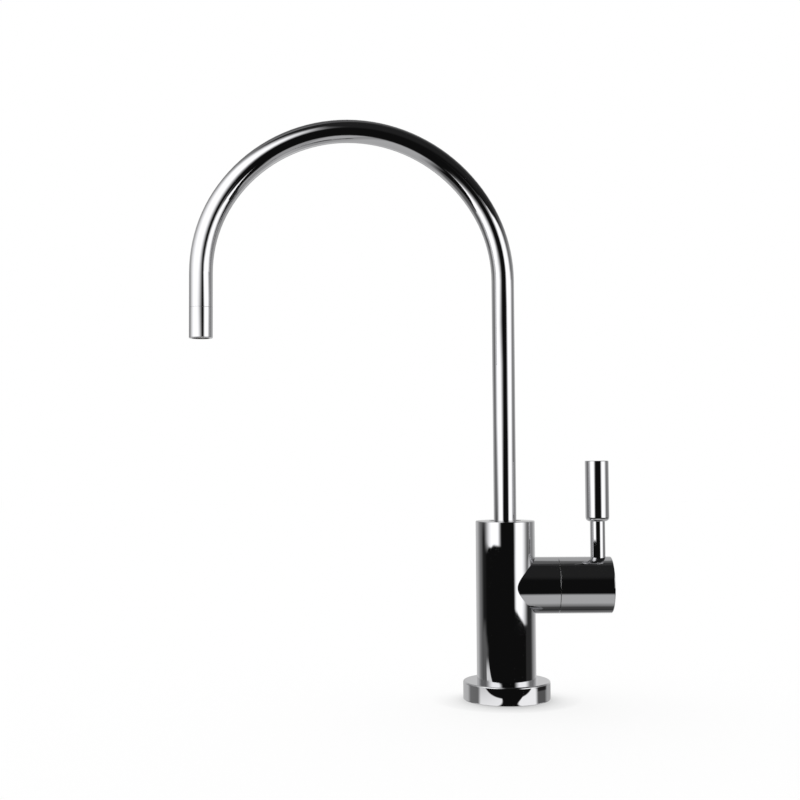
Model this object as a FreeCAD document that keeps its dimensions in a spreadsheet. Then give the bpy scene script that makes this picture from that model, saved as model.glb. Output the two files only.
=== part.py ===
import FreeCAD, Part
import math
import os
import Sketcher

# Drinking water faucet: a turned column on a round base, a swivelling gooseneck spout, and a quarter-turn
# valve in a side boss, worked by a lever. Millimetres, +Z up, origin at the centre of the base's underside.
# The spout leaves towards -X, swung a little towards -Y, and the handle's axis points along +X.

SIZES = {
    # base plate, its gasket and the body's spigot through it
    "base_diameter": 44.0,
    "base_height": 9.0,
    "base_edge_radius": 0.8,
    "gasket_inset": 2.0,
    "gasket_width": 3.5,
    "gasket_depth": 1.5,
    "spigot_diameter": 20.0,
    "spigot_recess": 0.5,
    "base_ring_section": 1.6,
    # column and water ways
    "body_diameter": 30.0,
    "body_edge_radius": 0.4,
    "thread_core_diameter": 13.0,
    "thread_depth": 12.0,
    "inlet_diameter": 8.0,
    "seat_port_diameter": 7.0,
    "outlet_way_diameter": 4.0,
    "handle_height": 56.6,
    "boss_diameter": 28.5,
    # valve cartridge, stacked along the handle's axis from the floor of the boss
    "bore_floor": 5.0,
    "cartridge_diameter": 20.0,
    "water_jacket": 0.75,
    "water_jacket_length": 11.0,
    "seal_thickness": 1.5,
    "seal_width": 2.0,
    "disc_diameter": 17.0,
    "disc_thickness": 3.0,
    "port_diameter": 3.6,
    "port_radius": 3.6,
    "tongue_length": 10.0,
    "tongue_width": 3.0,
    "tongue_bite": 1.0,
    "water_gap": 2.0,
    "window_diameter": 4.0,
    "flange_diameter": 14.0,
    "flange_thickness": 2.0,
    "slip_washer_thickness": 1.0,
    "sleeve_length": 8.5,
    "sleeve_ring_section": 1.2,
    "stem_diameter": 8.0,
    "stem_ring_section": 1.2,
    "stem_ring_setback": 2.0,
    "stem_ring_pitch": 4.0,
    "stem_flat": 3.0,
    "nose_diameter": 16.0,
    "nose_length": 5.0,
    "circlip_thickness": 0.8,
    "circlip_width": 2.5,
    "circlip_bite": 0.5,
    "guide_ring_thickness": 2.5,
    # hub and lever
    "seam_gap": 0.3,
    "hub_wall": 2.0,
    "adapter_diameter": 14.0,
    "adapter_length": 7.5,
    "hub_end_thickness": 13.5,
    "hub_edge_radius": 0.5,
    "seam_edge_radius": 0.06,
    "screw_diameter": 4.0,
    "screw_recess": 0.6,
    "screw_key": 2.0,
    "screw_key_depth": 2.0,
    "lever_inset": 6.5,
    "seat_height": 12.9,
    "rod_diameter": 7.6,
    "rod_length": 19.3,
    "stud_diameter": 5.0,
    "lower_stud_length": 7.0,
    "upper_stud_length": 10.0,
    "grip_diameter": 12.0,
    "grip_length": 30.7,
    "grip_edge_radius": 0.4,
    "grip_foot_radius": 2.0,
    # gooseneck spout
    "spout_swing": 12.6,
    "tube_diameter": 11.5,
    "tube_wall": 1.0,
    "arch_radius": 76.7,
    "shoulder_tightening": 6.7,
    "crown_easing": 1.2,
    "spout_rise": 122.7,
    "outlet_drop": 31.9,
    "socket_depth": 20.0,
    "socket_floor_wall": 1.95,
    "spout_washer_thickness": 1.2,
    "ferrule_wall": 2.2,
    "ferrule_lip": 1.5,
    "ferrule_top_gap": 0.2,
    "spout_ring_section": 1.2,
    "spout_ring_setback": 3.5,
    "spout_ring_pitch": 4.5,
    "snap_ring_depth": 4.0,
    "snap_ring_thickness": 0.8,
    "snap_ring_bite": 0.6,
    "ring_gap_width": 4.0,
    # outlet nozzle and its insert
    "nozzle_length": 15.0,
    "nozzle_spigot_length": 6.0,
    "nozzle_spigot_wall": 1.3,
    "nozzle_wall": 1.45,
    "nozzle_edge_radius": 0.4,
    "nozzle_seam_radius": 0.15,
    "straightener_length": 5.0,
    "straightener_hole_diameter": 1.8,
    "straightener_pitch_radius": 2.7,
    "nozzle_washer_thickness": 1.0,
    "nozzle_washer_width": 1.5,
    "outlet_ring_setback": 1.2,
    "outlet_ring_thickness": 0.8,
    "outlet_ring_bite": 0.5,
    "outlet_ring_width": 1.2,
    # clearances
    "fit_clearance": 0.05,
    "running_clearance": 0.08,
    "face_gap": 0.1,
}

STRAIGHTENER_HOLES = 6
KEY_SIDES = 6
FULL_TURN = 360
SHEET = "Sizes"

doc = FreeCAD.newDocument("faucet")
sheet = doc.addObject("Spreadsheet::Sheet", SHEET)
for row, (alias, number) in enumerate(SIZES.items(), start=1):
    sheet.set(f"A{row}", alias)
    sheet.set(f"B{row}", str(number))
    sheet.setAlias(f"B{row}", alias)
doc.recompute()


class Size:
    """A length as a formula on the sheet's cells, together with its present value."""

    def __init__(self, formula, value):
        self.formula = formula
        self.value = value

    def joined(self, sign, other, value):
        """This formula and another one, or a plain number, joined by a sign."""
        right = other.formula if isinstance(other, Size) else str(other)
        return Size(f"({self.formula} {sign} {right})", value)

    def __add__(self, other):
        return self.joined("+", other, self.value + number_of(other))

    def __sub__(self, other):
        return self.joined("-", other, self.value - number_of(other))

    def __mul__(self, other):
        return self.joined("*", other, self.value * number_of(other))

    def __truediv__(self, other):
        return self.joined("/", other, self.value / number_of(other))

    def __neg__(self):
        return Size(f"(-1 * {self.formula})", -self.value)


def number_of(length):
    """The present value of a size or of a plain number."""
    return length.value if isinstance(length, Size) else length


def cell(alias):
    """The driving dimension kept in the cell with this alias."""
    return Size(f"{SHEET}.{alias}", float(sheet.get(alias)))


def bind(item, **settings):
    """Sets properties of an object, each bound to its formula where it has one."""
    for name, length in settings.items():
        setattr(item, name, number_of(length))
        if isinstance(length, Size):
            item.setExpression(name, length.formula)


def set_at(item, x=None, y=None, z=None):
    """Places an object, each coordinate bound to its formula."""
    base = FreeCAD.Vector(*(number_of(value or 0.0) for value in (x, y, z)))
    item.Placement = FreeCAD.Placement(base, item.Placement.Rotation)
    for axis, value in zip("xyz", (x, y, z)):
        if isinstance(value, Size):
            item.setExpression(f"Placement.Base.{axis}", value.formula)


NOWHERE = FreeCAD.Vector(0, 0, 0)
UPWARDS = FreeCAD.Rotation()
ALONG_X = FreeCAD.Rotation(FreeCAD.Vector(0, 1, 0), 90)
ON_AXIS = 0
TOUCHING = 1e-6


def hold(sketch, name, length, kind, *where):
    """Adds a dimension to a sketch under a name, bound to its formula."""
    index = sketch.addConstraint(Sketcher.Constraint(kind, *where, length.value))
    sketch.renameConstraint(index, name)
    sketch.setExpression(f"Constraints.{name}", length.formula)


START, END, CENTRE = range(1, 4)
SIDEWAYS_AXIS, UPRIGHT_AXIS = range(-1, -3, -1)


def pin(sketch, name, line, point, corner):
    """Holds a point of a line at its corner (across, up), on the sketch's axis where no size is given."""
    across, up = corner
    if isinstance(across, Size):
        hold(sketch, f"{name}_across", across, "DistanceX", line, point)
    else:
        sketch.addConstraint(Sketcher.Constraint("PointOnObject", line, point, UPRIGHT_AXIS))
    if isinstance(up, Size):
        hold(sketch, f"{name}_up", up, "DistanceY", line, point)
    else:
        sketch.addConstraint(Sketcher.Constraint("PointOnObject", line, point, SIDEWAYS_AXIS))


def bow(centre, radius, start, end):
    """An arc about a centre, anticlockwise from one angle to another."""
    return Part.ArcOfCircle(Part.Circle(centre, FreeCAD.Vector(0, 0, 1), radius.value), start, end)


def sketch_on(body, name, role):
    """An empty sketch on one of the body's origin planes."""
    sketch = body.newObject("Sketcher::SketchObject", name)
    plane = [item for item in body.Origin.OriginFeatures if item.Role == role][0]
    sketch.AttachmentSupport = [(plane, "")]
    sketch.MapMode = "FlatFace"
    return sketch


def turned(label, outline, turn=UPWARDS):
    """A turned piece: a closed outline of (radius, height) corners spun about the piece's own axis."""
    body = doc.addObject("PartDesign::Body", label)
    body.Label = label
    sketch = sketch_on(body, f"{label}_outline", "XZ_Plane")
    points = [FreeCAD.Vector(number_of(radius), number_of(height), 0) for radius, height in outline]
    for start, end in zip(points, points[1:] + points[:1]):
        sketch.addGeometry(Part.LineSegment(start, end), False)
    for line, corner in enumerate(outline):
        following = (line + 1) % len(outline)
        sketch.addConstraint(Sketcher.Constraint("Coincident", line, END, following, START))
        pin(sketch, f"corner_{line}", line, START, corner)
    spin = body.newObject("PartDesign::Revolution", f"{label}_turned")
    spin.Profile = sketch
    spin.ReferenceAxis = (sketch, ["V_Axis"])
    spin.Angle = FULL_TURN
    body.Placement = FreeCAD.Placement(NOWHERE, turn)
    doc.recompute()
    return body


def ring(label, inner, outer, low, high, turn=UPWARDS):
    """A plain turned ring between two radii and two heights."""
    return turned(label, [(inner, low), (outer, low), (outer, high), (inner, high)], turn)


def rounded(body, radius, *rims):
    """Rounds the circular edges of a turned body that lie at the given (radius, height) rims."""
    def is_rim(edge, rim):
        if not isinstance(edge.Curve, Part.Circle):
            return False
        centre = edge.Curve.Center
        close = FreeCAD.Vector(centre.x, centre.y, centre.z - number_of(rim[1])).Length
        return close < TOUCHING and abs(edge.Curve.Radius - number_of(rim[0])) < TOUCHING
    tip = body.Tip
    names = [f"Edge{index}" for index, edge in enumerate(tip.Shape.Edges, start=1)
             if any(is_rim(edge, rim) for rim in rims)]
    fillet = body.newObject("PartDesign::Fillet", f"{body.Label}_rounding")
    fillet.Base = (tip, names)
    bind(fillet, Radius=radius)
    doc.recompute()
    return body


def rod(label, diameter, length, turn=UPWARDS):
    """A plain round bar, as stock or as a drill's path."""
    bar = doc.addObject("Part::Cylinder", label)
    bind(bar, Radius=diameter / 2, Height=length)
    bar.Placement = FreeCAD.Placement(NOWHERE, turn)
    return bar


def block(label, length, width, height):
    """A plain rectangular block, as stock or as a milling cutter's path."""
    box = doc.addObject("Part::Box", label)
    bind(box, Length=length, Width=width, Height=height)
    return box


def torus(label, centre_radius, section, turn=UPWARDS):
    """An O-ring of round section."""
    o_ring = doc.addObject("Part::Torus", label)
    o_ring.Label = label
    bind(o_ring, Radius1=centre_radius, Radius2=section / 2)
    o_ring.Placement = FreeCAD.Placement(NOWHERE, turn)
    return o_ring


def joined(label, *pieces):
    """Several shapes made one solid."""
    whole = doc.addObject("Part::MultiFuse", label)
    whole.Shapes = list(pieces)
    whole.Refine = True
    return whole


def cut(label, stock, *cutters):
    """Stock with the cutters' paths taken out of it."""
    tool = cutters[0] if len(cutters) == 1 else joined(f"{label}_cutters", *cutters)
    piece = doc.addObject("Part::Cut", label)
    piece.Base = stock
    piece.Tool = tool
    return piece


def kept(label, piece):
    """Names a finished sub-part by the label that its file takes."""
    piece.Label = label
    finished.append(piece)
    return piece


finished = []
fit = cell("fit_clearance")
running = cell("running_clearance")
face_gap = cell("face_gap")
GROUND = ON_AXIS

# Base plate: a turned brass disc with a rounded upper edge, a groove for its gasket underneath and a groove
# for an O-ring in its bore. The body's spigot passes through it.
base_radius = cell("base_diameter") / 2
base_height = cell("base_height")
spigot_radius = cell("spigot_diameter") / 2
plate_bore = spigot_radius + fit
gasket_outer = base_radius - cell("gasket_inset")
gasket_inner = gasket_outer - cell("gasket_width")
gasket_top = cell("gasket_depth")
base_ring = cell("base_ring_section")
base_ring_groove = plate_bore + base_ring
base_ring_low = base_height / 2 - base_ring / 2 - fit
base_ring_high = base_height / 2 + base_ring / 2 + fit
plate = turned("base_plate", [
    (plate_bore, GROUND), (gasket_inner, GROUND), (gasket_inner, gasket_top), (gasket_outer, gasket_top),
    (gasket_outer, GROUND), (base_radius, GROUND), (base_radius, base_height), (plate_bore, base_height),
    (plate_bore, base_ring_high), (base_ring_groove, base_ring_high), (base_ring_groove, base_ring_low),
    (plate_bore, base_ring_low)])
kept("base_plate", rounded(plate, cell("base_edge_radius"), (base_radius, base_height)))

# Gasket: a flat rubber ring, flush with the underside of the base plate.
kept("base_gasket", ring("base_gasket", gasket_inner + fit, gasket_outer - fit, GROUND, gasket_top - fit))

# O-ring in the base plate's bore, round the spigot.
base_o_ring = torus("base_o_ring", spigot_radius + base_ring / 2 + fit, base_ring)
set_at(base_o_ring, z=base_height / 2)
kept("base_o_ring", base_o_ring)

# Heights and places along the handle's axis that several pieces share.
handle_height = cell("handle_height")
cartridge_radius = cell("cartridge_diameter") / 2
jacket_radius = cartridge_radius + cell("water_jacket")
bore_floor = cell("bore_floor")
socket_floor = handle_height + jacket_radius + cell("socket_floor_wall")
body_top = socket_floor + cell("socket_depth")
disc_start = bore_floor + cell("seal_thickness")
turning_disc_start = disc_start + cell("disc_thickness") + face_gap
turning_disc_end = turning_disc_start + cell("disc_thickness")
flange_start = turning_disc_end + cell("water_gap")
flange_end = flange_start + cell("flange_thickness")
shoulder = flange_end + cell("slip_washer_thickness") + face_gap * 2
boss_face = shoulder + cell("sleeve_length")
nose_end = boss_face + cell("nose_length")

# Spout socket sizes: the ferrule round the tube's foot turns in it.
tube_radius = cell("tube_diameter") / 2
tube_bore = tube_radius - cell("tube_wall")
ferrule_radius = tube_radius + fit + cell("ferrule_wall")
socket_radius = ferrule_radius + running
snap_bite = cell("snap_ring_bite")
snap_high = body_top - cell("snap_ring_depth")
snap_low = snap_high - cell("snap_ring_thickness")

# Body: a turned brass column with a spigot below and a round boss at the side, its rim softened at the seam.
# A threaded socket for the supply shank is bored from below, with the inlet above it. A port leads on to the
# floor of the boss, and a drilled way from the jacket round the cartridge to the spout's socket.
body_radius = cell("body_diameter") / 2
boss_diameter = cell("boss_diameter")
spigot_foot = cell("spigot_recess")
column = turned("column", [
    (ON_AXIS, spigot_foot), (spigot_radius, spigot_foot), (spigot_radius, base_height),
    (body_radius, base_height), (body_radius, body_top), (ON_AXIS, body_top)])
rounded(column, cell("body_edge_radius"), (body_radius, body_top))
boss_radius = boss_diameter / 2
boss = turned("boss", [
    (ON_AXIS, ON_AXIS), (boss_radius, ON_AXIS), (boss_radius, boss_face), (ON_AXIS, boss_face)], ALONG_X)
rounded(boss, cell("seam_edge_radius"), (boss_radius, boss_face))
set_at(boss, z=handle_height)
thread_top = spigot_foot + cell("thread_depth")
thread_core = cell("thread_core_diameter") / 2
inlet_radius = cell("inlet_diameter") / 2
inlet_top = handle_height + inlet_radius
inlet = turned("inlet_way", [
    (ON_AXIS, GROUND), (thread_core, GROUND), (thread_core, thread_top), (inlet_radius, thread_top),
    (inlet_radius, inlet_top), (ON_AXIS, inlet_top)])
seat_port = rod("seat_port", cell("seat_port_diameter"), bore_floor, ALONG_X)
set_at(seat_port, z=handle_height)
jacket_end = bore_floor + cell("water_jacket_length")
boss_bore = turned("boss_bore", [
    (ON_AXIS, bore_floor), (jacket_radius, bore_floor), (jacket_radius, jacket_end),
    (cartridge_radius, jacket_end), (cartridge_radius, boss_face), (ON_AXIS, boss_face)], ALONG_X)
set_at(boss_bore, z=handle_height)
snap_groove = socket_radius + snap_bite + running
spout_socket = turned("spout_socket", [
    (ON_AXIS, socket_floor), (socket_radius, socket_floor), (socket_radius, snap_low - face_gap),
    (snap_groove, snap_low - face_gap), (snap_groove, snap_high + face_gap),
    (socket_radius, snap_high + face_gap), (socket_radius, body_top), (ON_AXIS, body_top)])
outlet_way_diameter = cell("outlet_way_diameter")
outlet_way = rod("outlet_way", outlet_way_diameter, socket_floor - handle_height - cartridge_radius / 2)
set_at(outlet_way, x=bore_floor + outlet_way_diameter / 2, z=handle_height + cartridge_radius / 2)
valve_body = cut("valve_body", joined("valve_body_stock", column, boss),
                 inlet, seat_port, boss_bore, spout_socket, outlet_way)
kept("valve_body", valve_body)

# Cartridge seal: a rubber ring round the seat port, squeezed by the fixed disc.
disc_radius = cell("disc_diameter") / 2
seal_outer = cell("port_radius") + cell("port_diameter") / 2 + cell("seal_width")
seal_inner = seal_outer - cell("seal_width")
seal = ring("cartridge_seal", seal_inner, seal_outer, bore_floor, disc_start, ALONG_X)
set_at(seal, z=handle_height)
kept("cartridge_seal", seal)


def ported_disc(label, start, side):
    """A ceramic disc, lapped flat, with two round ports on opposite sides of the axis."""
    disc = rod(f"{label}_blank", cell("disc_diameter"), cell("disc_thickness"), ALONG_X)
    set_at(disc, x=start, z=handle_height)
    ports = []
    for sign in (1, -1):
        port = rod(f"{label}_port", cell("port_diameter"), cell("disc_thickness"), ALONG_X)
        offset = cell("port_radius") * sign
        if side == "y":
            set_at(port, x=start, y=offset, z=handle_height)
        else:
            set_at(port, x=start, z=handle_height + offset)
        ports.append(port)
    return disc, ports


# Ceramic discs: the fixed one has its ports at the sides, the turning one above and below while the valve is
# shut, so that a quarter turn lines them up. The spindle's tongue drives the turning disc by a slot.
fixed_disc, fixed_ports = ported_disc("fixed_disc", disc_start, "y")
kept("ceramic_fixed_disc", cut("ceramic_fixed_disc", fixed_disc, *fixed_ports))
tongue_length = cell("tongue_length")
tongue_width = cell("tongue_width")
tongue_bite = cell("tongue_bite")
turning_disc, turning_ports = ported_disc("turning_disc", turning_disc_start, "z")
slot = block("drive_slot", tongue_bite + fit, tongue_length + fit * 2, tongue_width + fit * 2)
set_at(slot, x=turning_disc_end - tongue_bite - fit, y=-(tongue_length / 2 + fit),
       z=handle_height - tongue_width / 2 - fit)
kept("ceramic_turning_disc", cut("ceramic_turning_disc", turning_disc, slot, *turning_ports))

# Cartridge housing: a brass sleeve that screws into the boss, with side windows for the water, a groove for
# its O-ring and a nose that carries the spindle.
stem_radius = cell("stem_diameter") / 2
stem_bore = stem_radius + running
chamber_radius = disc_radius + running
housing_radius = cartridge_radius - fit
sleeve_ring = cell("sleeve_ring_section")
sleeve_ring_middle = boss_face - cell("sleeve_length") / 2
sleeve_groove_low = sleeve_ring_middle - sleeve_ring / 2 - fit
sleeve_groove_high = sleeve_ring_middle + sleeve_ring / 2 + fit
sleeve_groove = housing_radius - sleeve_ring
nose_radius = cell("nose_diameter") / 2
housing_stock = turned("housing_stock", [
    (chamber_radius, bore_floor + face_gap), (housing_radius, bore_floor + face_gap),
    (housing_radius, sleeve_groove_low), (sleeve_groove, sleeve_groove_low),
    (sleeve_groove, sleeve_groove_high), (housing_radius, sleeve_groove_high), (housing_radius, boss_face),
    (nose_radius, boss_face), (nose_radius, nose_end), (stem_bore, nose_end), (stem_bore, shoulder),
    (chamber_radius, shoulder)], ALONG_X)
set_at(housing_stock, z=handle_height)
window = rod("housing_window", cell("window_diameter"), cartridge_radius * 2)
set_at(window, x=turning_disc_end + cell("water_gap") / 2, z=handle_height - cartridge_radius)
kept("cartridge_housing", cut("cartridge_housing", housing_stock, window))
housing_o_ring = torus("housing_o_ring", housing_radius - sleeve_ring / 2, sleeve_ring, ALONG_X)
set_at(housing_o_ring, x=sleeve_ring_middle, z=handle_height)
kept("housing_o_ring", housing_o_ring)

# Hub guide ring: a plastic ring round the nose, against the boss, that centres the hub's rim.
hub_start = boss_face + cell("seam_gap")
hub_radius = boss_radius
hub_cavity = hub_radius - cell("hub_wall")
guide_ring = ring("hub_guide_ring", nose_radius + fit, hub_cavity - running, boss_face,
                  boss_face + cell("guide_ring_thickness"), ALONG_X)
set_at(guide_ring, z=handle_height)
kept("hub_guide_ring", guide_ring)

# Spout thrust washer: a slip washer on the floor of the socket, which the ferrule stands on.
ferrule_foot = socket_floor + cell("spout_washer_thickness") + face_gap
kept("spout_thrust_washer", ring("spout_thrust_washer", tube_bore, socket_radius - fit, socket_floor,
                                 ferrule_foot - face_gap))

# Spindle: a turned brass bar with a flange, two O-ring grooves, a circlip groove and a flat for the hub's
# adapter. Its tongue sits in the turning disc.
stem_ring = cell("stem_ring_section")
stem_groove = stem_radius - stem_ring
inner_ring_middle = shoulder + cell("stem_ring_setback")
outer_ring_middle = inner_ring_middle + cell("stem_ring_pitch")
clip_low = nose_end + face_gap
clip_high = clip_low + cell("circlip_thickness")
clip_groove = stem_radius - cell("circlip_bite")
adapter_start = clip_high + face_gap * 2
adapter_end = adapter_start + cell("adapter_length")
stem_end = adapter_end - face_gap
half_groove = stem_ring / 2 + fit
flange_radius = cell("flange_diameter") / 2


def groove(radius, floor, low, high):
    """The four corners of a square groove turned into a bar, from its lower to its upper rim."""
    return [(radius, low), (floor, low), (floor, high), (radius, high)]


stem_bar = turned("stem_bar", [
    (ON_AXIS, flange_start), (flange_radius, flange_start), (flange_radius, flange_end),
    (stem_radius, flange_end),
    *groove(stem_radius, stem_groove, inner_ring_middle - half_groove, inner_ring_middle + half_groove),
    *groove(stem_radius, stem_groove, outer_ring_middle - half_groove, outer_ring_middle + half_groove),
    *groove(stem_radius, clip_groove, clip_low - fit, clip_high + fit),
    (stem_radius, stem_end), (ON_AXIS, stem_end)], ALONG_X)
set_at(stem_bar, z=handle_height)
tongue = block("tongue", tongue_bite + cell("water_gap"), tongue_length, tongue_width)
set_at(tongue, x=turning_disc_end - tongue_bite, y=-(tongue_length / 2), z=handle_height - tongue_width / 2)
flat_cut = block("stem_flat_cut", stem_end - adapter_start, stem_radius * 2, stem_radius)
set_at(flat_cut, x=adapter_start, y=-stem_radius, z=handle_height + cell("stem_flat"))
kept("cartridge_stem", cut("cartridge_stem", joined("stem_stock", stem_bar, tongue), flat_cut))

# Slip washer between the spindle's flange and the sleeve's shoulder.
slip_washer = ring("stem_thrust_washer", stem_bore, flange_radius, flange_end + face_gap,
                   shoulder - face_gap, ALONG_X)
set_at(slip_washer, z=handle_height)
kept("stem_thrust_washer", slip_washer)

# The spindle's two O-rings.
stem_rings = []
for name, middle in (("stem_o_ring_inner", inner_ring_middle), ("stem_o_ring_outer", outer_ring_middle)):
    o_ring = torus(name, stem_radius - stem_ring / 2, stem_ring, ALONG_X)
    set_at(o_ring, x=middle, z=handle_height)
    stem_rings.append(o_ring)
both_stem_rings = doc.addObject("Part::Compound", "stem_o_rings")
both_stem_rings.Links = stem_rings
kept("stem_o_rings", both_stem_rings)

# Circlip: a spring-steel ring with a gap, in the spindle's groove against the sleeve's nose.
clip_outer = clip_groove + cell("circlip_width")
ring_gap = cell("ring_gap_width")
clip_blank = ring("circlip_blank", clip_groove + fit, clip_outer, clip_low, clip_high, ALONG_X)
set_at(clip_blank, z=handle_height)
clip_gap = block("circlip_gap", cell("circlip_thickness"), ring_gap, clip_outer)
set_at(clip_gap, x=clip_low, y=-(ring_gap / 2), z=handle_height)
kept("stem_circlip", cut("stem_circlip", clip_blank, clip_gap))

# Hub adapter: a plastic insert with a D-shaped bore on the spindle's flat.
adapter_radius = cell("adapter_diameter") / 2
adapter_bore = rod("adapter_bore", cell("stem_diameter") + fit * 2, cell("adapter_length"), ALONG_X)
set_at(adapter_bore, x=adapter_start, z=handle_height)
below_flat = block("below_flat", cell("adapter_length"), adapter_radius * 2,
                   stem_radius + cell("stem_flat") + fit * 2)
set_at(below_flat, x=adapter_start, y=-adapter_radius, z=handle_height - stem_radius - fit)
d_bore = doc.addObject("Part::Common", "d_bore")
d_bore.Base = adapter_bore
d_bore.Tool = below_flat
adapter_stock = rod("adapter_stock", cell("adapter_diameter"), cell("adapter_length"), ALONG_X)
set_at(adapter_stock, x=adapter_start, z=handle_height)
kept("hub_adapter", cut("hub_adapter", adapter_stock, d_bore))

# Handle hub: a turned cup that runs on the guide ring, with a socket for the adapter, a seat and thread for
# the lever on top, and a thread for a grub screw underneath.
adapter_socket = adapter_radius + fit
cavity_end = adapter_start - face_gap
socket_end = adapter_end + face_gap
hub_end = socket_end + cell("hub_end_thickness")
hub_stock = turned("hub_stock", [
    (ON_AXIS, socket_end), (adapter_socket, socket_end), (adapter_socket, cavity_end),
    (hub_cavity, cavity_end), (hub_cavity, hub_start), (hub_radius, hub_start), (hub_radius, hub_end),
    (ON_AXIS, hub_end)], ALONG_X)
rounded(hub_stock, cell("hub_edge_radius"), (hub_radius, hub_end))
rounded(hub_stock, cell("seam_edge_radius"), (hub_radius, hub_start))
set_at(hub_stock, z=handle_height)
lever_x = hub_end - cell("lever_inset")
rod_seat = handle_height + cell("seat_height")
stud_diameter = cell("stud_diameter")
lower_stud = cell("lower_stud_length")
lever_thread = rod("lever_thread", stud_diameter + fit * 2, lower_stud + face_gap)
set_at(lever_thread, x=lever_x, z=rod_seat - lower_stud - face_gap)
lever_seat = rod("lever_seat", cell("rod_diameter") + fit * 2, hub_radius)
set_at(lever_seat, x=lever_x, z=rod_seat)
screw_diameter = cell("screw_diameter")
screw_x = adapter_start + cell("adapter_length") / 2
screw_hole = rod("screw_hole", screw_diameter + fit * 2, hub_radius)
set_at(screw_hole, x=screw_x, z=handle_height - hub_radius)
kept("handle_hub", cut("handle_hub", hub_stock, lever_thread, lever_seat, screw_hole))

# Grub screw: clamps the hub on the adapter, with a hexagon key socket below the hub's surface.
screw_foot = handle_height - hub_radius + cell("screw_recess")
screw_length = hub_radius - adapter_radius - cell("screw_recess") - face_gap
screw_stock = rod("screw_stock", screw_diameter, screw_length)
set_at(screw_stock, x=screw_x, z=screw_foot)
key_socket = doc.addObject("Part::Prism", "key_socket")
key_socket.Polygon = KEY_SIDES
bind(key_socket, Circumradius=cell("screw_key") / math.sqrt(3), Height=cell("screw_key_depth"))
set_at(key_socket, x=screw_x, z=screw_foot)
kept("hub_set_screw", cut("hub_set_screw", screw_stock, key_socket))

# Lever rod: a turned bar with a threaded stud at each end, seated on a flat in the hub.
rod_radius = cell("rod_diameter") / 2
stud_radius = stud_diameter / 2
grip_foot = rod_seat + cell("rod_length")
upper_stud_end = grip_foot + cell("upper_stud_length")
lever_rod = turned("lever_rod", [
    (ON_AXIS, rod_seat - lower_stud), (stud_radius, rod_seat - lower_stud), (stud_radius, rod_seat),
    (rod_radius, rod_seat), (rod_radius, grip_foot), (stud_radius, grip_foot), (stud_radius, upper_stud_end),
    (ON_AXIS, upper_stud_end)])
set_at(lever_rod, x=lever_x)
kept("lever_rod", lever_rod)

# Lever grip: a thicker bar screwed on the rod, with its edge just broken on top and well rounded below.
grip_radius = cell("grip_diameter") / 2
grip_top = grip_foot + cell("grip_length")
grip_bore = stud_radius + fit
grip_bore_end = upper_stud_end + face_gap
grip = turned("lever_grip", [
    (grip_bore, grip_foot), (grip_radius, grip_foot), (grip_radius, grip_top), (ON_AXIS, grip_top),
    (ON_AXIS, grip_bore_end), (grip_bore, grip_bore_end)])
rounded(grip, cell("grip_edge_radius"), (grip_radius, grip_top))
rounded(grip, cell("grip_foot_radius"), (grip_radius, grip_foot))
set_at(grip, x=lever_x)
kept("lever_grip", grip)

# Spout ferrule: a brass sleeve soldered on the foot of the tube, which stands on an inner lip. It has grooves
# for two O-rings and for the snap ring that keeps it in the body.
spout_ring = cell("spout_ring_section")
half_spout_groove = spout_ring / 2 + fit
spout_groove = ferrule_radius - spout_ring
lower_ring_middle = ferrule_foot + cell("spout_ring_setback")
upper_ring_middle = lower_ring_middle + cell("spout_ring_pitch")
tube_foot = ferrule_foot + cell("ferrule_lip")
ferrule_top = body_top - cell("ferrule_top_gap")
ferrule_bore = tube_radius + fit
snap_floor = ferrule_radius - snap_bite
kept("spout_ferrule", turned("spout_ferrule", [
    (tube_bore, ferrule_foot), (ferrule_radius, ferrule_foot),
    *groove(ferrule_radius, spout_groove, lower_ring_middle - half_spout_groove,
            lower_ring_middle + half_spout_groove),
    *groove(ferrule_radius, spout_groove, upper_ring_middle - half_spout_groove,
            upper_ring_middle + half_spout_groove),
    *groove(ferrule_radius, snap_floor, snap_low - fit, snap_high + fit),
    (ferrule_radius, ferrule_top), (ferrule_bore, ferrule_top), (ferrule_bore, tube_foot),
    (tube_bore, tube_foot)]))
spout_rings = []
for name, middle in (("spout_o_ring_lower", lower_ring_middle), ("spout_o_ring_upper", upper_ring_middle)):
    o_ring = torus(name, ferrule_radius - spout_ring / 2, spout_ring)
    set_at(o_ring, z=middle)
    spout_rings.append(o_ring)
both_spout_rings = doc.addObject("Part::Compound", "spout_o_rings")
both_spout_rings.Links = spout_rings
kept("spout_o_rings", both_spout_rings)

# Snap ring: spring steel with a gap, half in the ferrule's groove and half in the body's.
snap_outer = socket_radius + snap_bite
snap_blank = ring("snap_ring_blank", snap_floor + fit, snap_outer, snap_low, snap_high)
snap_gap = block("snap_ring_gap", snap_outer, ring_gap, cell("snap_ring_thickness"))
set_at(snap_gap, y=-(ring_gap / 2), z=snap_low)
kept("spout_snap_ring", cut("spout_snap_ring", snap_blank, snap_gap))

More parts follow.
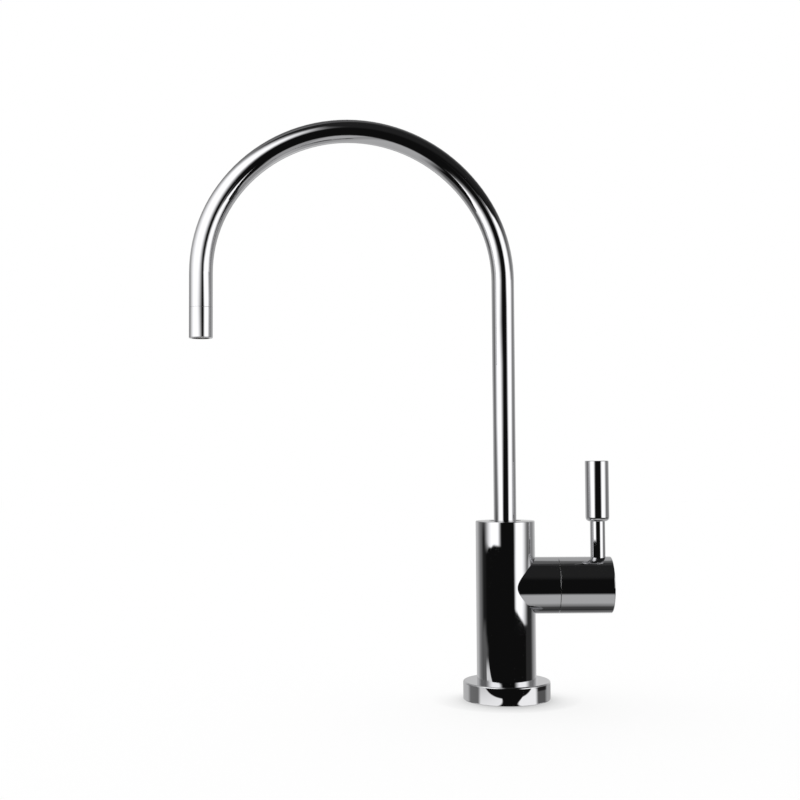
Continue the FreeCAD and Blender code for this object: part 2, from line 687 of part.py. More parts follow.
# Spout tube: one tube bent to an arch above the body, with a short straight leg to the nozzle. The arch is a
# little flatter than a half circle: two tighter shoulders run into a wider crown.
arch_radius = cell("arch_radius")
shoulder_radius = arch_radius - cell("shoulder_tightening")
crown_radius = arch_radius + cell("crown_easing")
arch_height = body_top + cell("spout_rise")
outlet_end = arch_height - cell("outlet_drop")
tube_end = outlet_end + cell("nozzle_length")
tube = doc.addObject("PartDesign::Body", "spout_tube")
tube_section = sketch_on(tube, "tube_section", "XY_Plane")
tube_section.AttachmentOffset = FreeCAD.Placement(FreeCAD.Vector(0, 0, tube_foot.value), UPWARDS)
tube_section.setExpression("AttachmentOffset.Base.z", tube_foot.formula)
for name, radius in (("outside", tube_radius), ("bore", tube_bore)):
    circle = tube_section.addGeometry(Part.Circle(NOWHERE, FreeCAD.Vector(0, 0, 1), radius.value), False)
    tube_section.addConstraint(Sketcher.Constraint("Coincident", circle, CENTRE, SIDEWAYS_AXIS, START))
    hold(tube_section, name, radius, "Radius", circle)
tube_line = sketch_on(tube, "tube_line", "XZ_Plane")
foot = FreeCAD.Vector(0, tube_foot.value, 0)
bend_start = FreeCAD.Vector(0, arch_height.value, 0)
bend_end = bend_start + FreeCAD.Vector(-arch_radius.value * 2, 0, 0)
leg_end = FreeCAD.Vector(bend_end.x, tube_end.value, 0)
centre_gap = crown_radius - shoulder_radius
turn = math.acos((arch_radius - shoulder_radius).value / centre_gap.value)
near_centre = bend_start - FreeCAD.Vector(shoulder_radius.value, 0, 0)
far_centre = bend_end + FreeCAD.Vector(shoulder_radius.value, 0, 0)
crown_centre = near_centre - FreeCAD.Vector(math.cos(turn), math.sin(turn), 0) * centre_gap.value
rise = tube_line.addGeometry(Part.LineSegment(foot, bend_start), False)
near_shoulder = tube_line.addGeometry(bow(near_centre, shoulder_radius, 0, turn), False)
crown = tube_line.addGeometry(bow(crown_centre, crown_radius, turn, math.pi - turn), False)
far_shoulder = tube_line.addGeometry(bow(far_centre, shoulder_radius, math.pi - turn, math.pi), False)
leg = tube_line.addGeometry(Part.LineSegment(bend_end, leg_end), False)
tube_line.addConstraint(Sketcher.Constraint("Coincident", rise, END, near_shoulder, START))
tube_line.addConstraint(Sketcher.Constraint("Tangent", near_shoulder, END, crown, START))
tube_line.addConstraint(Sketcher.Constraint("Tangent", crown, END, far_shoulder, START))
tube_line.addConstraint(Sketcher.Constraint("Equal", near_shoulder, far_shoulder))
tube_line.addConstraint(Sketcher.Constraint("Coincident", far_shoulder, END, leg, START))
tube_line.addConstraint(Sketcher.Constraint("Vertical", leg))
pin(tube_line, "foot", rise, START, (ON_AXIS, tube_foot))
pin(tube_line, "bend_start", near_shoulder, START, (ON_AXIS, arch_height))
pin(tube_line, "near_centre", near_shoulder, CENTRE, (-shoulder_radius, arch_height))
pin(tube_line, "far_centre", far_shoulder, CENTRE, (shoulder_radius - arch_radius * 2, arch_height))
hold(tube_line, "crown_radius", crown_radius, "Radius", crown)
hold(tube_line, "bend_end", arch_height, "DistanceY", far_shoulder, END)
hold(tube_line, "leg_end", tube_end, "DistanceY", leg, END)
doc.recompute()
sweep = tube.newObject("PartDesign::AdditivePipe", "tube_sweep")
sweep.Profile = tube_section
sweep.Spine = tube_line
doc.recompute()
swing = cell("spout_swing")
tube.Placement = FreeCAD.Placement(NOWHERE, FreeCAD.Rotation(FreeCAD.Vector(0, 0, 1), swing.value))
tube.setExpression("Placement.Rotation.Angle", f"{swing.formula} * 1 deg")
kept("spout_tube", tube)

# The outlet's axis, at the end of the arch, and heights that the nozzle and its insert share.
outlet_spot = tube.Placement.Rotation.multVec(bend_end)
outlet_x = Size(f"(-2 * {arch_radius.formula} * cos({swing.formula} * 1 deg))", outlet_spot.x)
outlet_y = Size(f"(-2 * {arch_radius.formula} * sin({swing.formula} * 1 deg))", outlet_spot.y)
chamber = tube_radius - cell("nozzle_wall")
outlet_ring_low = outlet_end + cell("outlet_ring_setback")
outlet_ring_high = outlet_ring_low + cell("outlet_ring_thickness")
straightener_foot = outlet_ring_high + face_gap
washer_foot = straightener_foot + cell("straightener_length")
washer_top = washer_foot + cell("nozzle_washer_thickness")

# Nozzle: a turned tip, flush with the tube, whose spigot is soldered inside it. Its softened upper rim leaves
# a hairline seam.
nozzle_spigot = tube_bore - fit
nozzle_bore = nozzle_spigot - cell("nozzle_spigot_wall")
spigot_end = tube_end + cell("nozzle_spigot_length")
ring_bite = cell("outlet_ring_bite")
nozzle = turned("outlet_nozzle", [
    (chamber, outlet_end), (tube_radius, outlet_end), (tube_radius, tube_end), (nozzle_spigot, tube_end),
    (nozzle_spigot, spigot_end), (nozzle_bore, spigot_end), (nozzle_bore, washer_top), (chamber, washer_top),
    *groove(chamber, chamber + ring_bite, outlet_ring_high + fit, outlet_ring_low - fit)])
rounded(nozzle, cell("nozzle_edge_radius"), (tube_radius, outlet_end))
rounded(nozzle, cell("nozzle_seam_radius"), (tube_radius, tube_end))
set_at(nozzle, x=outlet_x, y=outlet_y)
kept("outlet_nozzle", nozzle)

# Outlet insert: a rubber washer, a plastic flow straightener with a ring of holes, and a steel ring below it.
nozzle_washer = ring("nozzle_washer", chamber - fit - cell("nozzle_washer_width"), chamber - fit,
                     washer_foot, washer_top)
set_at(nozzle_washer, x=outlet_x, y=outlet_y)
kept("nozzle_washer", nozzle_washer)
straightener_length = cell("straightener_length")
straightener_stock = rod("straightener_stock", (chamber - fit) * 2, straightener_length)
set_at(straightener_stock, x=outlet_x, y=outlet_y, z=straightener_foot)
hole_diameter = cell("straightener_hole_diameter")
pitch_radius = cell("straightener_pitch_radius")
middle_hole = rod("straightener_hole", hole_diameter, straightener_length)
set_at(middle_hole, x=outlet_x, y=outlet_y, z=straightener_foot)
holes = [middle_hole]
for number in range(STRAIGHTENER_HOLES):
    angle = math.radians(FULL_TURN * number / STRAIGHTENER_HOLES)
    hole = rod("straightener_hole", hole_diameter, straightener_length)
    set_at(hole, x=outlet_x + pitch_radius * math.cos(angle), y=outlet_y + pitch_radius * math.sin(angle),
           z=straightener_foot)
    holes.append(hole)
kept("flow_straightener", cut("flow_straightener", straightener_stock, *holes))
outlet_ring_outer = chamber + ring_bite - fit
outlet_ring_width = cell("outlet_ring_width")
outlet_ring_inner = outlet_ring_outer - outlet_ring_width
outlet_ring_blank = ring("outlet_ring_blank", outlet_ring_inner, outlet_ring_outer, outlet_ring_low,
                         outlet_ring_high)
set_at(outlet_ring_blank, x=outlet_x, y=outlet_y)
outlet_ring_gap = block("outlet_ring_gap", outlet_ring_outer, outlet_ring_width,
                        cell("outlet_ring_thickness"))
set_at(outlet_ring_gap, x=outlet_x, y=outlet_y - outlet_ring_width / 2, z=outlet_ring_low)
kept("straightener_ring", cut("straightener_ring", outlet_ring_blank, outlet_ring_gap))

doc.recompute()
failed = [item.Name for item in doc.Objects if {"Invalid", "Error"} & set(item.State)]
bad_shapes = [item.Label for item in finished if item.Shape.isNull() or not item.Shape.isValid()]
if failed or bad_shapes:
    raise RuntimeError(f"not built: {failed + bad_shapes}")
os.makedirs("parts", exist_ok=True)
for piece in finished:
    piece.Shape.exportStep(f"parts/{piece.Label}.step")
    print(f"{piece.Label}: {len(piece.Shape.Solids)} solid(s), {piece.Shape.Volume:.1f} mm3")
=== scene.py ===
import math

import bpy
import numpy as np
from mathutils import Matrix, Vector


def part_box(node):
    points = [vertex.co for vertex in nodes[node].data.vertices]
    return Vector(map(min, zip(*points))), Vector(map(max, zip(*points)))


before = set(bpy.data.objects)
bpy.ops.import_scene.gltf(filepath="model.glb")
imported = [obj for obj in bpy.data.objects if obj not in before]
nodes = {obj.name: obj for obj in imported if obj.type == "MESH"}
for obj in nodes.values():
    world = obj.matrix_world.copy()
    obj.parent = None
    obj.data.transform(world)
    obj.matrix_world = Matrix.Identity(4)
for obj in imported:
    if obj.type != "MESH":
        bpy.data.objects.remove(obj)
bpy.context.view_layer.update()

# Base plate: a brass escutcheon that covers the hole in the worktop, turned, buffed, then plated with nickel
# and bright chromium. The plate is a cool mirror with a slight swell left by the buffing wheel, and a trace
# of haze where it was wiped dry.


def linear(srgb):
    """A colour written as sRGB hex, turned to linear light with full alpha."""
    parts = np.array([int(srgb[place:place + 2], 16) for place in (1, 3, 5)]) / 255
    low, high = parts / 12.92, ((parts + 0.055) / 1.055) ** 2.4
    return (*np.where(parts <= 0.04045, low, high), 1.0)


def add(tree, kind, settings=None, links=None):
    """Adds a node, sets its properties and sockets, and links its sockets to other nodes' outputs."""
    node = tree.nodes.new(kind)
    for name, value in (settings or {}).items():
        if name in node.inputs:
            node.inputs[name].default_value = value
        else:
            setattr(node, name, value)
    for socket, output in (links or {}).items():
        tree.links.new(output, node.inputs[socket])
    return node


def finish(name, colour, metallic=0.0, ior=None):
    """A new material with its plain values set, returned with its tree, shader and object coordinates."""
    material = bpy.data.materials.new(name)
    material.use_nodes = True
    tree = material.node_tree
    shader = tree.nodes["Principled BSDF"]
    shader.inputs["Base Color"].default_value = linear(colour)
    shader.inputs["Metallic"].default_value = metallic
    if ior:
        shader.inputs["IOR"].default_value = ior
    return material, tree, shader, add(tree, "ShaderNodeTexCoord").outputs["Object"]


def dress(material, *names):
    """Gives solid pieces their finish."""
    for name in names:
        nodes[name].data.materials.clear()
        nodes[name].data.materials.append(material)


# Most of a noise's values lie in this part of its range.
NOISE = {"From Min": 0.35, "From Max": 0.65}
HAZE_MM = 9.0
SWELL_MM = 16.0
chrome, tree, shader, place = finish("bright chromium plate on buffed brass", "#D7D7D9", metallic=1.0)
haze = add(tree, "ShaderNodeTexNoise", {"Scale": 1000 / HAZE_MM, "Detail": 4.0}, {"Vector": place})
wiped = add(tree, "ShaderNodeMapRange", {**NOISE, "To Min": 0.015, "To Max": 0.03},
            {"Value": haze.outputs["Fac"]})
tree.links.new(wiped.outputs["Result"], shader.inputs["Roughness"])
swell = add(tree, "ShaderNodeTexNoise", {"Scale": 1000 / SWELL_MM, "Detail": 0.0}, {"Vector": place})
buffed = add(tree, "ShaderNodeBump", {"Strength": 1.0, "Distance": 0.000004},
             {"Height": swell.outputs["Fac"]})
tree.links.new(buffed.outputs["Normal"], shader.inputs["Normal"])
dress(chrome, "base_plate")

# Gasket and O-rings: black nitrile rubber, moulded in a blasted tool, so it is dull and finely mottled.
# The gasket lies in a groove under the base plate, and the rings sit in grooves on the spigot, sleeve,
# spindle and ferrule, with flat washers at the valve's inlet and in the outlet.
BLAST_MM = 0.4
rubber, tree, shader, place = finish("black nitrile rubber, moulded", "#1B1B1C", ior=1.52)
blast = add(tree, "ShaderNodeTexNoise", {"Scale": 1000 / BLAST_MM, "Detail": 2.0}, {"Vector": place})
dull = add(tree, "ShaderNodeMapRange", {**NOISE, "To Min": 0.6, "To Max": 0.75},
           {"Value": blast.outputs["Fac"]})
tree.links.new(dull.outputs["Result"], shader.inputs["Roughness"])
pitted = add(tree, "ShaderNodeBump", {"Strength": 0.3, "Distance": 0.00002},
             {"Height": blast.outputs["Fac"]})
tree.links.new(pitted.outputs["Normal"], shader.inputs["Normal"])
dress(rubber, "base_gasket", "base_o_ring", "cartridge_seal", "housing_o_ring", "stem_o_rings",
      "spout_o_rings", "nozzle_washer")

# Valve body: a cast and turned brass column with a round boss at its side, bored for the cartridge and the
# spout. It is plated with the base plate, and a spigot below holds the two together.
dress(chrome, "valve_body")

# Cartridge sleeve and spindle: bar brass, machined and left bare in the boss, a warm yellow dulled by
# handling. The tool leaves fine rings along the handle's axis, 0.15 mm apart, drawn at 0.4 mm so that they
# show.
FEED_MM = 0.4
TARNISH_MM = 5.0
# A wave texture repeats after this length at a scale of 1.
WAVE_LENGTH = 2 * math.pi / 20
brass, tree, shader, place = finish("free-cutting brass, machined", "#C9A558", metallic=1.0)
feed = add(tree, "ShaderNodeTexWave", {"bands_direction": "X", "Scale": WAVE_LENGTH * 1000 / FEED_MM,
                                       "Distortion": 0.4, "Detail": 1.0}, {"Vector": place})
cut = add(tree, "ShaderNodeBump", {"Strength": 0.5, "Distance": 0.000006}, {"Height": feed.outputs["Fac"]})
tree.links.new(cut.outputs["Normal"], shader.inputs["Normal"])
tarnish = add(tree, "ShaderNodeTexNoise", {"Scale": 1000 / TARNISH_MM, "Detail": 4.0}, {"Vector": place})
handled = add(tree, "ShaderNodeValToRGB", links={"Fac": tarnish.outputs["Fac"]})
dark_brass, bright_brass = handled.color_ramp.elements
dark_brass.position, dark_brass.color = NOISE["From Min"], linear("#B08A41")
bright_brass.position, bright_brass.color = NOISE["From Max"], linear("#D2B066")
tree.links.new(handled.outputs["Color"], shader.inputs["Base Color"])
dry = add(tree, "ShaderNodeMapRange", {**NOISE, "To Min": 0.2, "To Max": 0.34},
          {"Value": tarnish.outputs["Fac"]})
tree.links.new(dry.outputs["Result"], shader.inputs["Roughness"])
dress(brass, "cartridge_housing", "cartridge_stem")

# Valve discs: two discs of sintered alumina, lapped flat against each other so that they seal without rubber.
# Lapping gives a close satin gleam on a warm white, with a fine grey fleck where grains were pulled out.
FLECK_MM = 0.35
ceramic, tree, shader, place = finish("sintered alumina, lapped", "#EDEAE3", ior=1.77)
fleck = add(tree, "ShaderNodeTexVoronoi", {"Scale": 1000 / FLECK_MM}, {"Vector": place})
pulled = add(tree, "ShaderNodeValToRGB", links={"Fac": fleck.outputs["Distance"]})
grey_fleck, warm_white = pulled.color_ramp.elements
grey_fleck.position, grey_fleck.color = 0.06, linear("#CFCBC3")
warm_white.position, warm_white.color = 0.22, linear("#EDEAE3")
tree.links.new(pulled.outputs["Color"], shader.inputs["Base Color"])
lapped = add(tree, "ShaderNodeMapRange", {"To Min": 0.3, "To Max": 0.14},
             {"Value": fleck.outputs["Distance"]})
tree.links.new(lapped.outputs["Result"], shader.inputs["Roughness"])
dress(ceramic, "ceramic_fixed_disc", "ceramic_turning_disc")

# Bearing pieces: moulded acetal, which slides on metal without grease. A ring guides the hub, an insert joins
# the spindle to the hub, washers carry the spindle and the spout, and a holed plug straightens the water.
# Acetal is an off-white that lets a little light in, with a fine spark-eroded grain from its mould.
SPARK_MM = 0.3
acetal, tree, shader, place = finish("white acetal, moulded", "#ECEBE4", ior=1.48)
shader.inputs["Subsurface Weight"].default_value = 0.15
shader.inputs["Subsurface Radius"].default_value = (1.0, 0.9, 0.8)
shader.inputs["Subsurface Scale"].default_value = 0.0008
spark = add(tree, "ShaderNodeTexNoise", {"Scale": 1000 / SPARK_MM, "Detail": 3.0}, {"Vector": place})
satin = add(tree, "ShaderNodeMapRange", {**NOISE, "To Min": 0.36, "To Max": 0.5},
            {"Value": spark.outputs["Fac"]})
tree.links.new(satin.outputs["Result"], shader.inputs["Roughness"])
eroded = add(tree, "ShaderNodeBump", {"Strength": 0.25, "Distance": 0.00001},
             {"Height": spark.outputs["Fac"]})
tree.links.new(eroded.outputs["Normal"], shader.inputs["Normal"])
dress(acetal, "hub_guide_ring", "hub_adapter", "stem_thrust_washer", "spout_thrust_washer",
      "flow_straightener")

# Clips and grub screw: stainless spring steel. The clips are bent from strip that was rolled flat, and snap
# into grooves on the spindle, ferrule and nozzle, and the screw clamps the hub from below.
# Rolling draws the grain out into streaks, 0.2 mm wide, drawn 3 mm long.
STREAK_MM = 0.2
STREAK_STRETCH = 15
steel, tree, shader, place = finish("stainless spring steel, rolled", "#B4B4B3", metallic=1.0)
drawn = add(tree, "ShaderNodeMapping", {"Scale": (1 / STREAK_STRETCH, 1.0, 1.0)}, {"Vector": place})
streak = add(tree, "ShaderNodeTexNoise", {"Scale": 1000 / STREAK_MM, "Detail": 2.0},
             {"Vector": drawn.outputs["Vector"]})
rolled = add(tree, "ShaderNodeMapRange", {**NOISE, "To Min": 0.2, "To Max": 0.36},
             {"Value": streak.outputs["Fac"]})
tree.links.new(rolled.outputs["Result"], shader.inputs["Roughness"])
ridged = add(tree, "ShaderNodeBump", {"Strength": 0.3, "Distance": 0.000004},
             {"Height": streak.outputs["Fac"]})
tree.links.new(ridged.outputs["Normal"], shader.inputs["Normal"])
dress(steel, "stem_circlip", "spout_snap_ring", "straightener_ring", "hub_set_screw")

# Handle: a turned hub on the end of the boss, behind a fine seam, with a rod screwed into its top and a
# thicker grip screwed on the rod. All three are brass, plated as the body is.
dress(chrome, "handle_hub", "lever_rod", "lever_grip")

# Spout: a drawn tube bent into a gooseneck, soldered into a brass ferrule that turns in the body, with a
# turned nozzle in its end. They are buffed after bending and plated together.
dress(chrome, "spout_ferrule", "spout_tube", "outlet_nozzle")

# Studio walls: a round of dark cloth about the set that only mirrors show, whose light and shade are painted
# into its glow. It is pale behind the faucet, where light from the white ground falls on it, and darkens
# towards the front and overhead. The studio's angles are in degrees.
STUDIO_CENTRE = np.array([-0.030, 0.0, 0.150])
WALL_RADIUS = 1.6
CLOTH_BLACK = 0.006


def ease(value, start, end):
    """Zero at start and one at end, with a smooth cubic between them, in either direction."""
    part = np.clip((value - start) / (end - start), 0, 1)
    return part * part * (3 - 2 * part)


def around(azimuth, elevation, radius):
    """Points on a sphere about the studio's centre; azimuth runs from the front (-Y) towards +X."""
    turn, lift = np.radians(azimuth), np.radians(elevation)
    outward = np.stack([np.sin(turn) * np.cos(lift), -np.cos(turn) * np.cos(lift), np.sin(lift)], -1)
    return STUDIO_CENTRE + radius * outward


def grid_mesh(name, points):
    """A smooth mesh of four-sided faces through a grid of points, rows by columns."""
    rows, columns = points.shape[:2]
    index = np.arange(rows * columns).reshape(rows, columns)
    faces = np.stack([index[:-1, :-1], index[:-1, 1:], index[1:, 1:], index[1:, :-1]], -1).reshape(-1, 4)
    mesh = bpy.data.meshes.new(name)
    mesh.from_pydata(points.reshape(-1, 3), [], faces)
    mesh.polygons.foreach_set("use_smooth", np.ones(len(faces), bool))
    return mesh


def stand_card(name, points, glow, cover, facing=None):
    """A card that only mirror rays meet, with its light and how much it covers given for each point.

    With facing, it covers only rays whose slant to the card lies past the first of the two values, and fully
    from the second on.
    """
    mesh = grid_mesh(name, points)
    for label, values in (("glow", glow), ("cover", cover)):
        layer = mesh.attributes.new(label, "FLOAT", "POINT")
        layer.data.foreach_set("value", values.astype(np.float32).ravel())
    card = bpy.data.objects.new(name, mesh)
    bpy.context.scene.collection.objects.link(card)
    card.visible_camera = False
    card.visible_diffuse = False
    card.visible_shadow = False
    card.visible_transmission = False
    material = bpy.data.materials.new(name + ", lit")
    material.use_nodes = True
    tree = material.node_tree
    tree.nodes.clear()
    level = add(tree, "ShaderNodeAttribute", {"attribute_name": "glow"})
    share = add(tree, "ShaderNodeAttribute", {"attribute_name": "cover"}).outputs["Fac"]
    if facing:
        slant = add(tree, "ShaderNodeLayerWeight", {"Blend": 0.5})
        turned = add(tree, "ShaderNodeMapRange", {"From Min": facing[0], "From Max": facing[1]},
                     {"Value": slant.outputs["Facing"]})
        share = add(tree, "ShaderNodeMath", {"operation": "MULTIPLY"},
                    {0: share, 1: turned.outputs["Result"]}).outputs["Value"]
    lit = add(tree, "ShaderNodeEmission", {"Color": linear("#FFFFFF")}, {"Strength": level.outputs["Fac"]})
    clear = add(tree, "ShaderNodeBsdfTransparent")
    mixed = add(tree, "ShaderNodeMixShader",
                links={0: share, 1: clear.outputs["BSDF"], 2: lit.outputs["Emission"]})
    add(tree, "ShaderNodeOutputMaterial", links={"Surface": mixed.outputs["Shader"]})
    material.cycles.emission_sampling = "NONE"
    mesh.materials.append(material)


azimuth, elevation = np.meshgrid(np.linspace(-180, 180, 721), np.linspace(-90, 90, 361))
# The left wall is shaded near the table towards the front, and a little paler at the arch's height.
left_wall = np.interp(azimuth, [-180, -160, -145, -120, -98, -70], [0.56, 0.63, 0.6, 0.2, 0.19, 0.02])
left_wall = left_wall * (1 - 0.9 * ease(elevation, -3.5, -6) * ease(azimuth, -118, -98))
left_wall = left_wall + 0.2 * ease(elevation, 5, 20) * ease(elevation, 54, 36) * ease(azimuth, -140, -125)
left_wall = left_wall * ease(azimuth, -70, -90)
# The right wall is shaded near the table towards the front, and above the column.
right_wall = np.interp(azimuth, [78, 103, 115, 150, 165, 180], [0, 0.28, 0.26, 0.68, 0.75, 0.58])
right_wall = right_wall * (1 - 0.85 * ease(elevation, -6, -10) * ease(azimuth, 118, 104))
right_wall = right_wall * (1 - 0.85 * ease(elevation, 18, 36) * ease(azimuth, 150, 130))
# Light from the table reaches the foot of both walls, more on the right, and a trace of it the ceiling.
low_edge = np.interp(elevation, [-13, -12], [-80, -89])
LOW_FADE = 9
low_left = 0.13 * ease(azimuth, low_edge + LOW_FADE, low_edge - LOW_FADE) * ease(azimuth, -116, -104)
low_left = low_left * ease(elevation, -11.2, -11.7)
low_right = 0.4 * ease(azimuth, 70, 84) * ease(azimuth, 150, 125) * ease(elevation, -20.5, -23)
faint = 0.03 * ease(azimuth, 72, 80) * ease(azimuth, 116, 104) * ease(elevation, -6, -10)
ceiling = 0.02 * ease(elevation, 10, 40)
black = np.full_like(azimuth, CLOTH_BLACK)
# Behind the faucet the walls darken upwards in two steps.
behind = ease(np.abs(azimuth), 120, 140)
above = (1 - 0.6 * ease(elevation, 14, 32)) * (1 - 0.5 * ease(elevation, 35, 60))
walls = np.where(azimuth < 0, left_wall, right_wall) * (1 - behind * (1 - above))
walls = np.maximum.reduce([walls, low_left, low_right, faint, ceiling, black])
stand_card("studio_walls", around(azimuth, elevation, WALL_RADIUS), walls, np.ones_like(walls))

# Back paper: the upright end of the white sweep close behind the faucet. It stops below the top of the arch,
# so that the tops of the hub and boss show it and the arch's rim doesn't.
NEAR_RADIUS = 0.3
PAPER_GLOW = 0.47
azimuth, elevation = np.meshgrid(np.arange(125, 236, 0.5), np.arange(-2, 56, 0.5))
cover = ease(np.abs(azimuth - 180), 46, 34) * ease(elevation, 0, 8) * ease(elevation, 53, 42)
glow = np.full_like(cover, PAPER_GLOW)
stand_card("back_paper", around(azimuth, elevation, NEAR_RADIUS), glow, cover)

# Left softbox: a large curved sheet of lit cloth close to the set, which gives the wide white bands on its
# left. Its right border is soft, and its lower border is cut straight and hangs just above the table, where
# the grid has finer rows.
BOX_GLOW = 1.5
rows = np.concatenate([np.arange(-19.3, -16.3, 0.1), np.arange(-16.3, 74, 0.5)])
azimuth, elevation = np.meshgrid(np.arange(-125, 40, 0.5), rows)
right_edge = np.interp(elevation, [-16, 0, 8, 14, 20, 40, 50], [-22, -19, -19, -27, -22, -22, -10])
right_fade = np.interp(elevation, [-13, 0, 14, 22], [9, 19, 25, 18])
left_edge = np.interp(elevation, [-12, 0], [-74, -85])
LEFT_FADE = 22
top = np.interp(azimuth, [-110, -50, -15, 5], [48, 60, 61, 51])
TOP_FADE = 7
lowest = -17.8 - 0.4 * ease(azimuth, -44, -60)
hem = 0.2 + ease(azimuth, -66, -80)
cover = ease(azimuth, right_edge + right_fade, right_edge - right_fade)
cover = cover * ease(azimuth, left_edge - LEFT_FADE, left_edge + LEFT_FADE)
cover = cover * ease(elevation, lowest - hem, lowest + hem)
cover = cover * ease(elevation, top + TOP_FADE, top - TOP_FADE)
glow = np.full_like(cover, BOX_GLOW)
stand_card("left_softbox", around(azimuth, elevation, NEAR_RADIUS), glow, cover)

# Right softbox: a sheet of the same cloth that stands further off, which gives the narrow bands on the right.
# Its lower border is cut straight, with finer rows of the grid there, and its sides fade.
FAR_RADIUS = 1.4
rows = np.concatenate([np.arange(-12.2, -10.4, 0.05), np.arange(-10.4, 30, 0.3)])
azimuth, elevation = np.meshgrid(np.arange(8, 125, 0.5), rows)
left_edge = np.interp(elevation, [-8, 0, 9, 12, 21, 27], [33, 37, 36, 29, 40, 65])
left_fade = np.interp(elevation, [-7, 3, 20], [6, 13, 4])
right_edge = np.interp(elevation, [-11, 10, 14, 26], [72, 90, 79, 72])
RIGHT_FADE = 17
lowest = np.interp(azimuth, [30, 70], [-10.8, -11.7])
HEM = 0.1
cover = ease(azimuth, left_edge - left_fade, left_edge + left_fade)
cover = cover * ease(azimuth, right_edge + RIGHT_FADE, right_edge - RIGHT_FADE)
cover = cover * ease(elevation, lowest - HEM, lowest + HEM) * ease(elevation, 28, 24)
glow = np.full_like(cover, BOX_GLOW)
stand_card("right_softbox", around(azimuth, elevation, FAR_RADIUS), glow, cover)

# Flag: a small card of the walls' black cloth, before the left of the arch, which keeps the right softbox off
# its underside. Its borders are soft.
FLAG_DEPTH = -0.08
across, tall = np.meshgrid(np.linspace(-0.112, -0.053, 60), np.linspace(0.238, 0.28, 43))
cover = ease(across, -0.111, -0.099) * ease(across, -0.054, -0.066)
cover = cover * ease(tall, 0.239, 0.247) * ease(tall, 0.279, 0.271)
points = np.stack([across, np.full_like(across, FLAG_DEPTH), tall], -1)
stand_card("flag", points, np.full_like(cover, CLOTH_BLACK), cover)

# Table sheet: dull white paper on the table that the undersides show, seen only from steeply above. Its glow
# has the faucet's shadow painted in under the faucet, with a painted dark line of shade below the boss and
# hub.
# The table's three papers lie a tenth of a millimetre apart, with this one on top.
PAPER_STEP = 0.0001
STEEP_SLANT = (0.52, 0.4)
across, deep = np.meshgrid(np.linspace(-0.36, 0.36, 361), np.linspace(-0.27, 0.35, 311))
left_edge = np.interp(deep, [-0.25, 0.0, 0.2], [-0.135, -0.175, -0.28])
SIDE_FADE = 0.04
# The glow has the faucet's shadow painted in as a darker band under it.
glow = np.interp(across, [-0.2, -0.05, 0.0, 0.05, 0.12], [0.48, 0.54, 0.28, 0.28, 0.42])
# Painted light and shade under the boss and hub, from front to back: a pale part, the dark line, a dim part
# and a paler one.
under = ease(across, -0.015, 0.01) * ease(across, 0.1, 0.075)
glow = glow + (0.52 - glow) * under * ease(deep, -0.014, -0.03)
glow = glow * (1 - 0.78 * under * ease(deep, -0.016, -0.004) * ease(deep, 0.026, 0.014))
glow = glow * (1 - 0.35 * under * ease(deep, 0.0, 0.012) * ease(deep, 0.06, 0.035))
glow = glow + 0.14 * ease(across, -0.05, 0.0) * ease(across, 0.2, 0.1) * ease(deep, 0.04, 0.07)
cover = ease(across, left_edge - SIDE_FADE, left_edge + SIDE_FADE) * ease(across, 0.34, 0.22)
cover = cover * ease(deep, -0.25, -0.16) * ease(deep, 0.34, 0.26)
points = np.stack([across, deep, np.full_like(across, 3 * PAPER_STEP)], -1)
stand_card("table_sheet", points, glow, cover, facing=STEEP_SLANT)

# Table strip: a bright strip of paper before the base, which shows only at a low slant. The base's front
# mirrors it in two parts, with the dark of the camera's side between them, a gap that widens forwards.
LOW_SLANT = (0.55, 0.75)
BASE_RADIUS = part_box("base_plate")[1].x
GAP_MIDDLE = -0.0005
GAP_HALF = 0.0055
GAP_FADE = 0.001
GAP_LENGTH = 0.016
across, deep = np.meshgrid(np.linspace(-0.17, 0.07, 481), np.linspace(-0.044, -0.012, 65))
forwards = np.clip(-BASE_RADIUS - deep, 0, None) / GAP_LENGTH
gap = GAP_HALF + np.where(across < 0, 0.003, 0.012) * forwards ** 2
glow = np.interp(across, [-0.05, 0.0], [0.85, 1.2])
cover = ease(deep, -0.0415, -0.0385) * ease(deep, -0.012, -0.015)
cover = cover * ease(across, -0.16, -0.09) * ease(across, 0.062, 0.052)
cover = cover * ease(np.abs(across - GAP_MIDDLE), gap - GAP_FADE, gap + GAP_FADE)
points = np.stack([across, deep, np.full_like(across, PAPER_STEP)], -1)
stand_card("table_strip", points, glow, cover, facing=LOW_SLANT)

# Table ends: duller paper that the base's two ends mirror. It is cut to the rays that the camera sees in the
# base's rim: each column of its grid starts just off the rim, at a turn from the front, and runs on as the
# rim mirrors the camera's ray there, so that its borders show upright on the base.
RIM_RADIUS = BASE_RADIUS + 0.0002
CAMERA_TURN = 4.7
turn, reach = np.meshgrid(np.linspace(-89, 89, 713), np.linspace(0.0, 0.06, 61))
rim_turn, mirrored_turn = np.radians(turn), np.radians(2 * turn + CAMERA_TURN)
across = RIM_RADIUS * np.sin(rim_turn) + reach * np.sin(mirrored_turn)
deep = -RIM_RADIUS * np.cos(rim_turn) - reach * np.cos(mirrored_turn)
glow = np.interp(turn, [-67, -60, -40, 40, 54.5, 61], [0.58, 0.2, 0.17, 0.12, 0.12, 0.45])
glow = glow * (1 - 0.85 * ease(reach, 0.031, 0.036) * ease(turn, 33, 38) * ease(turn, 61, 56))
cover = np.maximum(ease(turn, -40, -46), ease(turn, 34.5, 41)) * ease(reach, 0.06, 0.045)
points = np.stack([across, deep, np.full_like(across, 2 * PAPER_STEP)], -1)
stand_card("table_ends", points, glow, cover, facing=LOW_SLANT)
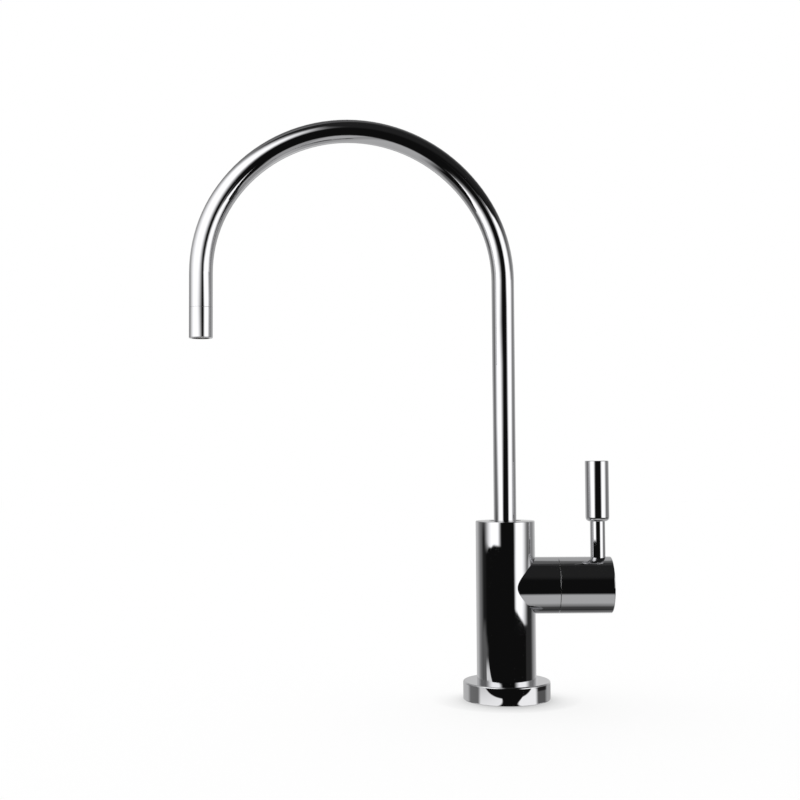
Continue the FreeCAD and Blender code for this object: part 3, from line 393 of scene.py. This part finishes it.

# Floor: a white paper sweep under a white sky that is brighter behind, so the faucet's soft shadow falls
# towards the camera. The camera sees that shadow at part strength, because most of what it sees is a painted
# glow of white with painted contact shade, which is darkest round the base.
FLOOR_HALF = 3.0
NOOK_MM = 17.0
NOOK_LIGHT = 0.3
PAINTED_GLOW_SHARE = 0.75
side = np.linspace(-FLOOR_HALF, FLOOR_HALF, 3)
across, deep = np.meshgrid(side, side)
floor = bpy.data.objects.new("floor", grid_mesh("floor", np.stack([across, deep, 0 * across], -1)))
bpy.context.scene.collection.objects.link(floor)
paper, tree, shader = finish("white sweep paper, painted glow and contact shade", "#FFFFFF")[:3]
shader.inputs["Roughness"].default_value = 1.0
shader.inputs["Specular IOR Level"].default_value = 0.0
# The painted shade is gathered from above and behind, so that it lies mostly before the base.
lean = add(tree, "ShaderNodeCombineXYZ", {"Y": 0.8, "Z": 0.6})
nook = add(tree, "ShaderNodeAmbientOcclusion", {"samples": 16, "Distance": NOOK_MM / 1000},
           {"Normal": lean.outputs["Vector"]})
shade = add(tree, "ShaderNodeMapRange", {"To Min": NOOK_LIGHT}, {"Value": nook.outputs["AO"]})
# A painted glow of the paper's white, dimmed near the faucet by the painted contact shade.
painted_glow = add(tree, "ShaderNodeEmission", {"Color": linear("#FFFFFF")}, {"Strength": shade.outputs["Result"]})
floor_ray = add(tree, "ShaderNodeLightPath")
# The camera sees this share of the painted glow, and the rest is the paper's true shading.
part = add(tree, "ShaderNodeMapRange", {"To Max": PAINTED_GLOW_SHARE}, {"Value": floor_ray.outputs["Is Camera Ray"]})
mixed = add(tree, "ShaderNodeMixShader", links={0: part.outputs["Result"], 1: shader.outputs["BSDF"],
                                                2: painted_glow.outputs["Emission"]})
tree.links.new(mixed.outputs["Shader"], tree.nodes["Material Output"].inputs["Surface"])
paper.cycles.emission_sampling = "NONE"
floor.data.materials.append(paper)
floor.visible_glossy = False

# Sky: a plain white surround, brighter behind the faucet than before it and of strength 1 on the whole. The
# camera sees it as plain white.
SKY_BEFORE = 0.1
SKY_BEHIND = 1.9
world = bpy.data.worlds.new("white sky")
world.use_nodes = True
tree = world.node_tree
sky = tree.nodes["Background"]
sky.inputs["Color"].default_value = linear("#FFFFFF")
way = add(tree, "ShaderNodeSeparateXYZ",
          links={"Vector": add(tree, "ShaderNodeTexCoord").outputs["Generated"]})
level = add(tree, "ShaderNodeMapRange", {"From Min": -1.0, "To Min": SKY_BEFORE, "To Max": SKY_BEHIND},
            {"Value": way.outputs["Y"]})
sky_ray = add(tree, "ShaderNodeLightPath")
shown = add(tree, "ShaderNodeMix", {"B": 1.0},
            {"Factor": sky_ray.outputs["Is Camera Ray"], "A": level.outputs["Result"]})
tree.links.new(shown.outputs["Result"], sky.inputs["Strength"])
bpy.context.scene.world = world

# Camera: a little above the column's top and left of the column, tilted up and rolled very slightly.
# Its place, angles and lens follow from the photograph's edges. Its angles are in radians.
SENSOR_MM = 36
LENS_MM = 56.19
TILT = 0.0494
ROLL = 0.0004
PAN = -0.006
camera = bpy.data.objects.new("camera", bpy.data.cameras.new("camera"))
bpy.context.scene.collection.objects.link(camera)
camera.data.sensor_width = SENSOR_MM
camera.data.lens = LENS_MM
camera.location = (-0.05286, -0.6378, 0.1196)
camera.rotation_mode = "ZYX"
camera.rotation_euler = (math.pi / 2 + TILT, ROLL, PAN)
bpy.context.scene.camera = camera
bpy.context.scene.view_settings.view_transform = "Standard"
